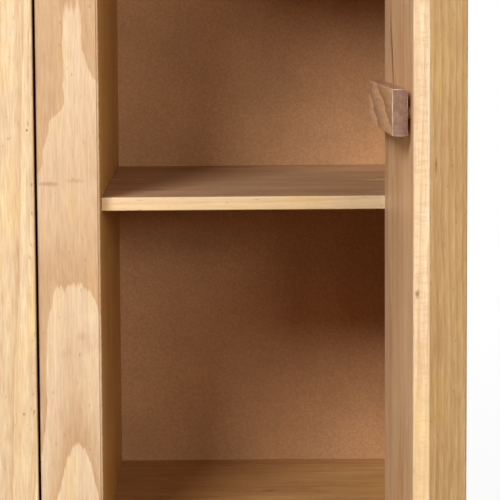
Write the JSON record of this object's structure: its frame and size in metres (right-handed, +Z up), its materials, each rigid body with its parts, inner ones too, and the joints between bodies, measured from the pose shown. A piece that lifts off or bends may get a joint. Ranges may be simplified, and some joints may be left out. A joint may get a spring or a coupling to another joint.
{
  "type": "wardrobe",
  "caption": "Free-standing pine wardrobe: framed carcass, hinged plank doors with inner battens, shelves beside a hanging space.",
  "frame": {"origin": "middle of the body's footprint on the floor, at the underside of the centre foot's glide", "axes": "+Z up, the doors face -Y, +X to the right of someone who faces the doors"},
  "size_m": [1.18, 0.8049, 1.715],
  "materials": {
    "pine_body": "waxed",
    "pine_frame": "waxed",
    "pine_shelf": "waxed",
    "pine_door": "waxed",
    "pine_batten": "sanded",
    "knob_pine": "waxed",
    "hardboard": "smooth matt",
    "dowel_beech": "plain",
    "spacer_fibre": "matt",
    "glide_plastic": "matt",
    "catch_plastic": "matt",
    "rail_steel": "bright",
    "hinge_steel": "satin",
    "fastener_steel": "satin"
  },
  "bodies": {
    "carcass": {"side_panel_left": "pine_body", "side_panel_right": "pine_body", "partition_panel": "pine_body", "bottom_board": "pine_shelf", "top_board": "pine_body", "back_panel_left": "hardboard", "back_panel_right": "hardboard", "back_rail_left": "pine_body", "back_rail_right": "pine_body", "bottom_cleat": "pine_body", "centre_foot": "pine_body", "floor_glides": "glide_plastic", "stile_left": "pine_frame", "stile_centre": "pine_frame", "stile_right": "pine_frame", "rail_bottom": "pine_frame", "rail_top": "pine_frame", "shelf_lower": "pine_shelf", "shelf_middle": "pine_shelf", "shelf_upper": "pine_shelf", "hat_shelf": "pine_shelf", "shelf_pins": "fastener_steel", "hanging_rail": "rail_steel", "rail_flanges": "rail_steel", "rail_flange_screws": "fastener_steel", "dowels": "dowel_beech", "frame_dowels": "dowel_beech", "back_nails": "fastener_steel", "magnetic_catches": "catch_plastic", "hinge_frame_leaves": "hinge_steel", "hinge_frame_screws": "fastener_steel", "hinge_pins": "hinge_steel"},
    "door_left": {"door_left_panel": "pine_door", "door_left_battens": "pine_batten", "door_left_batten_spacers": "spacer_fibre", "door_left_batten_screws": "fastener_steel", "door_left_knob": "knob_pine", "door_left_knob_screw": "fastener_steel", "door_left_hinge_leaves": "hinge_steel", "door_left_hinge_screws": "fastener_steel", "door_left_strike_plate": "fastener_steel"},
    "door_middle": {"door_middle_panel": "pine_door", "door_middle_battens": "pine_batten", "door_middle_batten_spacers": "spacer_fibre", "door_middle_batten_screws": "fastener_steel", "door_middle_knob": "knob_pine", "door_middle_knob_screw": "fastener_steel", "door_middle_hinge_leaves": "hinge_steel", "door_middle_hinge_screws": "fastener_steel", "door_middle_strike_plate": "fastener_steel"},
    "door_right": {"door_right_panel": "pine_door", "door_right_battens": "pine_batten", "door_right_batten_spacers": "spacer_fibre", "door_right_batten_screws": "fastener_steel", "door_right_knob": "knob_pine", "door_right_knob_screw": "fastener_steel", "door_right_hinge_leaves": "hinge_steel", "door_right_hinge_screws": "fastener_steel", "door_right_strike_plate": "fastener_steel"}
  },
  "joints": [
    {"name": "door_left_hinge", "type": "hinge", "parent": "carcass", "child": "door_left", "pos_m": [-0.503, -0.249, 0.9025], "axis": [0, 0, 1], "range_deg": [-110, 0]},
    {"name": "door_middle_hinge", "type": "hinge", "parent": "carcass", "child": "door_middle", "pos_m": [0.122, -0.249, 0.9025], "axis": [0, 0, 1], "range_deg": [0, 110]},
    {"name": "door_right_hinge", "type": "hinge", "parent": "carcass", "child": "door_right", "pos_m": [0.503, -0.249, 0.9025], "axis": [0, 0, 1], "range_deg": [-89.5, 20.5]}
  ]
}
